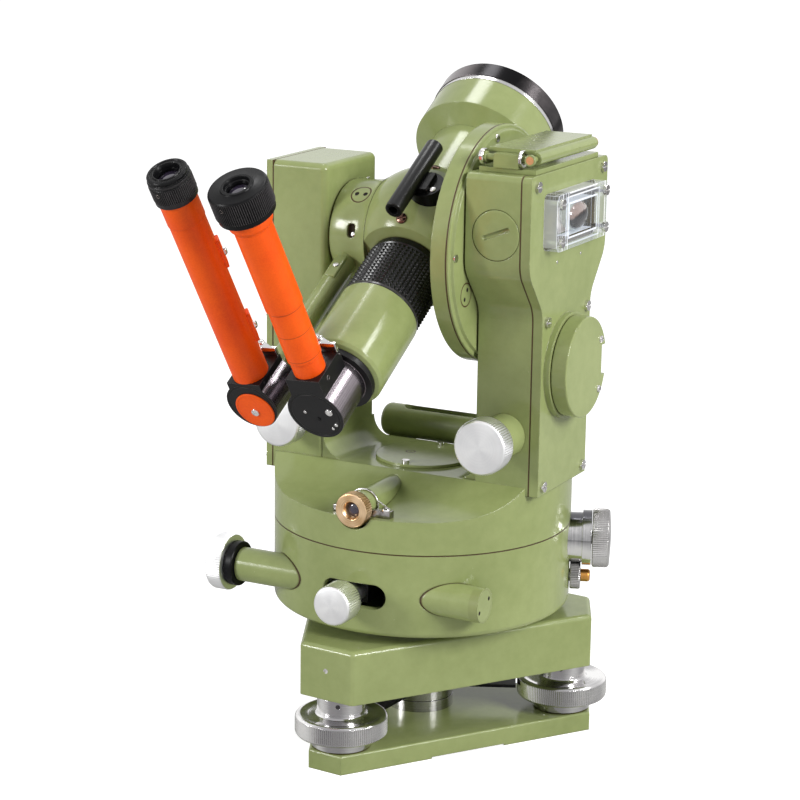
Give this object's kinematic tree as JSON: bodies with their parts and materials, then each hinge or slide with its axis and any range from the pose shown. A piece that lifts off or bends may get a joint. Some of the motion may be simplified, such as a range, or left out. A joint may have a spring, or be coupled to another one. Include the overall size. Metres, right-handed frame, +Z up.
{
  "type": "theodolite",
  "caption": "Optical theodolite with tilting telescope between two standards, bent eyepieces, levelling base and clamp and tangent knobs.",
  "frame": {"origin": "vertical axis at the underside of the base plate, in the mouth of the tripod thread", "axes": "+X along the trunnion axis towards the standard with the flat side cover, +Y away from the observer, +Z up"},
  "size_m": [0.1669, 0.2637, 0.3096],
  "materials": {
    "green_paint": "satin enamel",
    "black_metal": "black finish",
    "orange_paint": "satin",
    "bright_steel": "polished, knurled rims",
    "screw_steel": "turned",
    "turned_aluminium": "turned faces, knurled rims",
    "brass": "turned",
    "inner_steel": "ground",
    "clear_glass": "polished"
  },
  "bodies": {
    "base": {"base_plate": "green_paint", "centre_bush": "bright_steel", "spring_plate": "black_metal", "base_screws": "screw_steel", "tribrach": "green_paint", "axis_sleeve": "inner_steel"},
    "foot_screw_front": {"foot_screw_front": "bright_steel"},
    "foot_screw_right": {"foot_screw_right": "bright_steel"},
    "foot_screw_back": {"foot_screw_back": "bright_steel"},
    "horizontal_circle": {"horizontal_circle": "clear_glass"},
    "alidade": {"lower_housing": "green_paint", "upper_housing": "green_paint", "vertical_axis": "inner_steel", "deck_cover": "green_paint", "left_cover": "green_paint", "right_cover": "green_paint", "cover_screws": "screw_steel", "side_window": "clear_glass", "reading_prisms": "clear_glass", "level_tube": "green_paint", "level_vial": "clear_glass", "plummet_barrel": "green_paint", "plummet_clip": "screw_steel", "slotted_cap": "green_paint", "tangent_barrel": "green_paint", "spring_housing": "green_paint", "standard_barrels": "green_paint", "circle_drive_barrel": "bright_steel", "mirror_base": "green_paint", "trunnion_bushes": "inner_steel"},
    "clamp_arm": {"clamp_arm": "black_metal"},
    "clamp_knob": {"clamp_knob": "turned_aluminium"},
    "tangent_knob": {"tangent_knob": "turned_aluminium"},
    "circle_drive_knob": {"circle_drive_knob": "bright_steel"},
    "circle_lock_knob": {"circle_lock_knob": "bright_steel"},
    "plummet_eyepiece": {"plummet_eyepiece": "brass"},
    "vertical_tangent_knob": {"vertical_tangent_knob": "turned_aluminium"},
    "vertical_clamp_knob": {"vertical_clamp_knob": "turned_aluminium"},
    "telescope": {"telescope_body": "green_paint", "circle_cover": "green_paint", "vertical_circle": "clear_glass", "trunnion_axle": "inner_steel", "objective_bell": "green_paint", "objective_ring": "bright_steel", "objective_rim": "black_metal", "objective_lens": "clear_glass", "peep_sight": "black_metal", "telescope_screws": "screw_steel", "microscope_tube": "green_paint", "eyepiece_tube": "green_paint"},
    "focusing_ring": {"focusing_ring": "black_metal"},
    "telescope_elbow": {"telescope_elbow_housing": "black_metal", "telescope_elbow_tube": "orange_paint"},
    "telescope_eye_ring": {"telescope_eye_ring": "black_metal"},
    "microscope_elbow": {"microscope_elbow_housing": "black_metal", "microscope_elbow_tube": "orange_paint"},
    "microscope_eye_ring": {"microscope_eye_ring": "black_metal"},
    "mirror_arm": {"mirror_arm": "brass"},
    "mirror_flap": {"mirror_flap": "green_paint"},
    "port_cover": {"port_cover": "green_paint"}
  },
  "joints": [
    {"name": "alidade_turn", "type": "hinge", "parent": "base", "child": "alidade", "pos_m": [0, 0, 0.0645], "axis": [0, 0, 1], "continuous": true},
    {"name": "foot_screw_front_turn", "type": "hinge", "parent": "base", "child": "foot_screw_front", "pos_m": [-0.00616, -0.06772, 0.0343], "axis": [0, 0, 1], "range_deg": [-1080, 1080]},
    {"name": "foot_screw_right_turn", "type": "hinge", "parent": "base", "child": "foot_screw_right", "pos_m": [0.06173, 0.02852, 0.0343], "axis": [0, 0, 1], "range_deg": [-1080, 1080]},
    {"name": "foot_screw_back_turn", "type": "hinge", "parent": "base", "child": "foot_screw_back", "pos_m": [-0.05557, 0.0392, 0.0343], "axis": [0, 0, 1], "range_deg": [-1080, 1080]},
    {"name": "horizontal_circle_turn", "type": "hinge", "parent": "base", "child": "horizontal_circle", "pos_m": [0, 0, 0.096], "axis": [0, 0, 1], "continuous": true},
    {"name": "circle_drive_turn", "type": "hinge", "parent": "alidade", "child": "circle_drive_knob", "pos_m": [0.07417, 0.02997, 0.0944], "axis": [0.9272, 0.3746, 0], "continuous": true},
    {"name": "circle_lock_turn", "type": "hinge", "parent": "alidade", "child": "circle_lock_knob", "pos_m": [0.0649, 0.02622, 0.0757], "axis": [0.9272, 0.3746, 0], "range_deg": [0, 300]},
    {"name": "clamp_arm_turn", "type": "hinge", "parent": "alidade", "child": "clamp_arm", "pos_m": [0, 0, 0.0828], "axis": [0, 0, 1], "range_deg": [-2.5, 2.5]},
    {"name": "tangent_turn", "type": "hinge", "parent": "alidade", "child": "tangent_knob", "pos_m": [-0.066, -0.055, 0.0828], "axis": [1, 0, 0], "range_deg": [-1700, 1700]},
    {"name": "clamp_knob_turn", "type": "hinge", "parent": "clamp_arm", "child": "clamp_knob", "pos_m": [0, -0.09, 0.0828], "axis": [0, -1, 0], "range_deg": [-90, 270]},
    {"name": "plummet_focus", "type": "hinge", "parent": "alidade", "child": "plummet_eyepiece", "pos_m": [0, -0.066, 0.1225], "axis": [0, -1, 0], "range_deg": [-150, 150]},
    {"name": "vertical_tangent_turn", "type": "hinge", "parent": "alidade", "child": "vertical_tangent_knob", "pos_m": [0.0538, -0.05, 0.1543], "axis": [0, -1, 0], "range_deg": [-1080, 1080]},
    {"name": "vertical_clamp_turn", "type": "hinge", "parent": "alidade", "child": "vertical_clamp_knob", "pos_m": [-0.0538, -0.04, 0.1506], "axis": [0, -1, 0], "range_deg": [-90, 270]},
    {"name": "telescope_tilt", "type": "hinge", "parent": "alidade", "child": "telescope", "pos_m": [0, 0, 0.2359], "axis": [1, 0, 0], "range_deg": [-210, 22]},
    {"name": "focus_turn", "type": "hinge", "parent": "telescope", "child": "focusing_ring", "pos_m": [0, -0.01911, 0.2246], "axis": [0, 0.8607, 0.509], "range_deg": [-150, 150]},
    {"name": "telescope_elbow_turn", "type": "hinge", "parent": "telescope", "child": "telescope_elbow", "pos_m": [0, -0.09812, 0.17787], "axis": [0, 0.8607, 0.509], "range_deg": [0, 100]},
    {"name": "microscope_elbow_turn", "type": "hinge", "parent": "telescope", "child": "microscope_elbow", "pos_m": [-0.0317, -0.09812, 0.17787], "axis": [0, 0.8607, 0.509], "range_deg": [-110, 0]},
    {"name": "telescope_eye_turn", "type": "hinge", "parent": "telescope_elbow", "child": "telescope_eye_ring", "pos_m": [-0.00635, -0.15097, 0.26722], "axis": [-0.061, -0.5081, 0.8591], "range_deg": [-150, 150]},
    {"name": "microscope_eye_turn", "type": "hinge", "parent": "microscope_elbow", "child": "microscope_eye_ring", "pos_m": [-0.0378, -0.14893, 0.26378], "axis": [-0.061, -0.5081, 0.8591], "range_deg": [-150, 150]},
    {"name": "mirror_arm_tilt", "type": "hinge", "parent": "alidade", "child": "mirror_arm", "pos_m": [0.055, -0.035, 0.2807], "axis": [1, 0, 0], "range_deg": [0, 120]},
    {"name": "mirror_flap_tilt", "type": "hinge", "parent": "mirror_arm", "child": "mirror_flap", "pos_m": [0.0676, 0, 0.2807], "axis": [0, 1, 0], "range_deg": [0, 180]},
    {"name": "port_cover_swing", "type": "hinge", "parent": "alidade", "child": "port_cover", "pos_m": [0.0762, 0.021, 0.1835], "axis": [0, 0, 1], "range_deg": [0, 120]}
  ],
  "couplings": [
    {"joint": "horizontal_circle_turn", "follows": "circle_drive_turn", "ratio": 0.1},
    {"joint": "clamp_arm_turn", "follows": "tangent_turn", "ratio": 0.001444}
  ]
}
